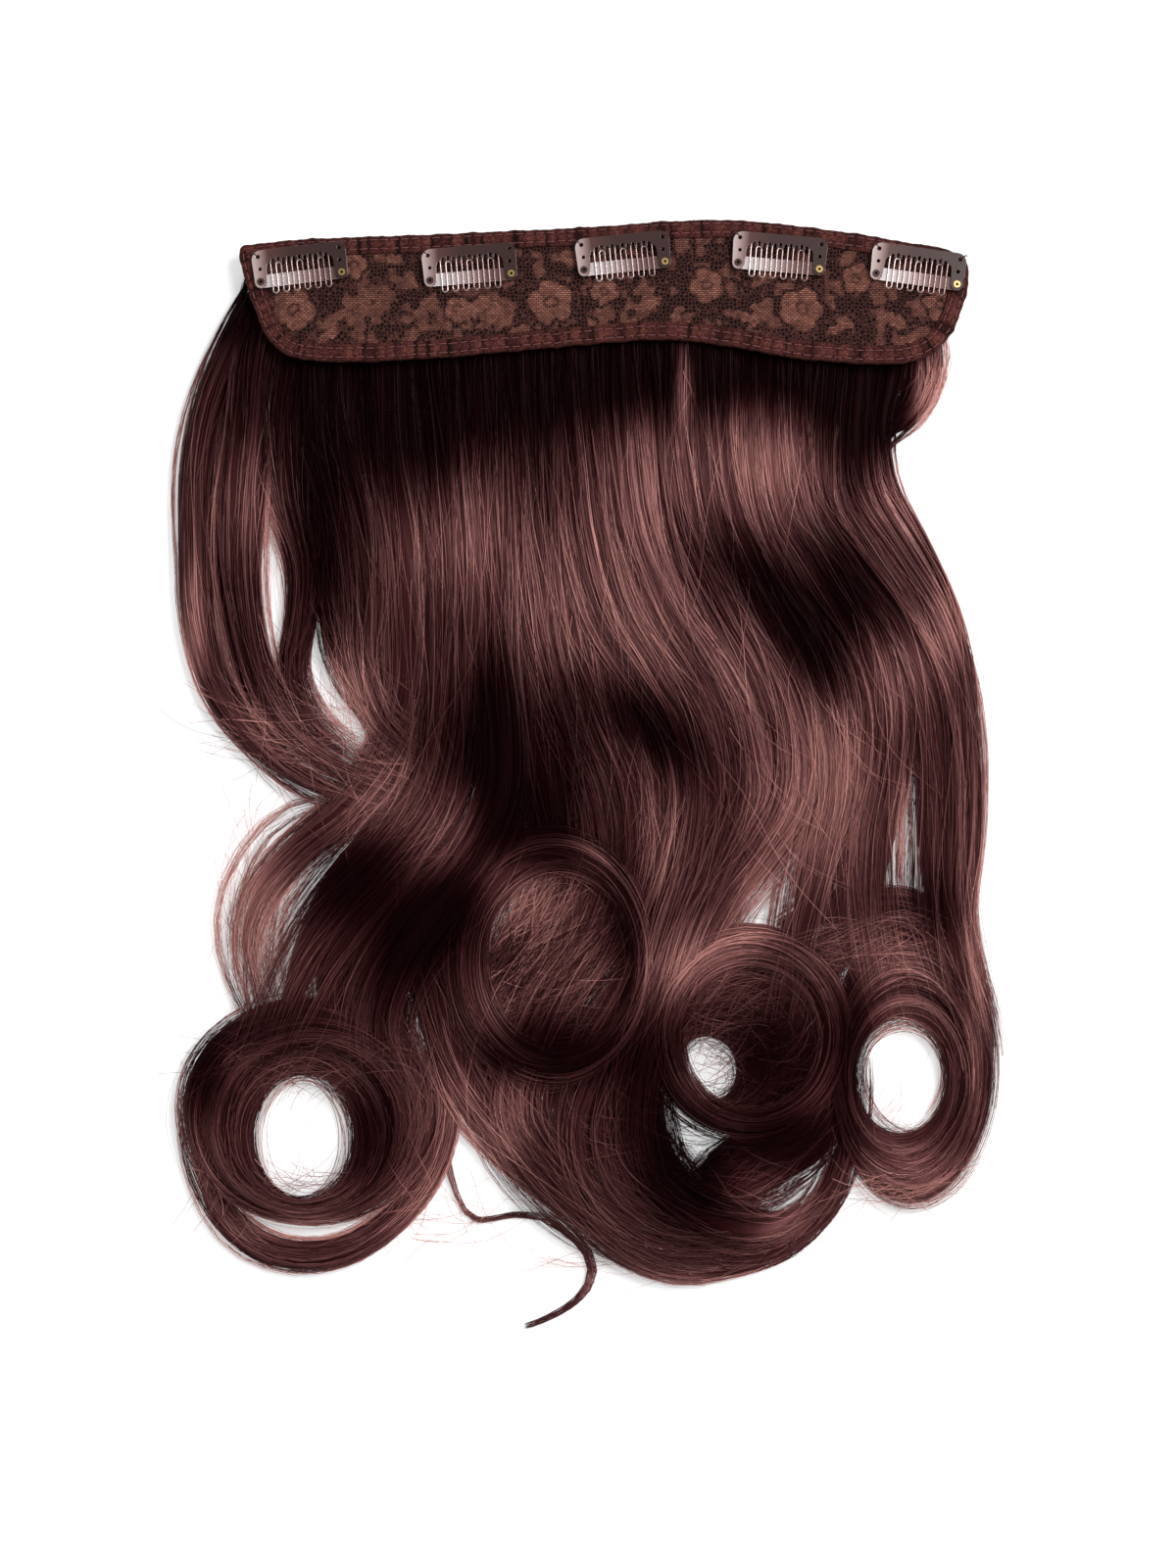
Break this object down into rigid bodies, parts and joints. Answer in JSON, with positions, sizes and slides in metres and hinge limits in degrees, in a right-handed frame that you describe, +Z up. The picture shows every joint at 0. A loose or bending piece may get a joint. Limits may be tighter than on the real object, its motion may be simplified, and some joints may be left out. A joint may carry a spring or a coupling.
{
  "type": "clip-in hair extension",
  "caption": "Wide curled clip-in hairpiece lying flat: a bound lace band with sprung snap clips over long waved locks that end in ringlets.",
  "frame": {"origin": "middle of the part's box in X and Y, on the plane that the part lies on", "axes": "+X along the band towards the picture's right, +Y from the hair's ends to the band, +Z up out of the surface"},
  "size_m": [0.2863, 0.3846, 0.0155],
  "materials": {
    "hair": "glossy synthetic hair fibre, dark mahogany brown",
    "lace": "matt floral lace, brown",
    "tape": "matt woven tape, brown",
    "clip_metal": "glossy dark brown paint on spring steel",
    "eyelet_brass": "bare brass, satin",
    "eyelet_dark": "glossy dark brown paint"
  },
  "bodies": {
    "root": {"hair": "hair", "lace_panel": "lace", "edge_tape": "tape", "clip_1_comb": "clip_metal", "clip_1_bar": "clip_metal", "clip_1_eyelet_left": "eyelet_dark", "clip_1_eyelet_right": "eyelet_brass", "clip_2_comb": "clip_metal", "clip_2_bar": "clip_metal", "clip_2_eyelet_left": "eyelet_dark", "clip_2_eyelet_right": "eyelet_brass", "clip_3_comb": "clip_metal", "clip_3_bar": "clip_metal", "clip_3_eyelet_left": "eyelet_dark", "clip_3_eyelet_right": "eyelet_brass", "clip_4_comb": "clip_metal", "clip_4_bar": "clip_metal", "clip_4_eyelet_left": "eyelet_dark", "clip_4_eyelet_right": "eyelet_brass", "clip_5_comb": "clip_metal", "clip_5_bar": "clip_metal", "clip_5_eyelet_left": "eyelet_dark", "clip_5_eyelet_right": "eyelet_brass"}
  },
  "joints": []
}
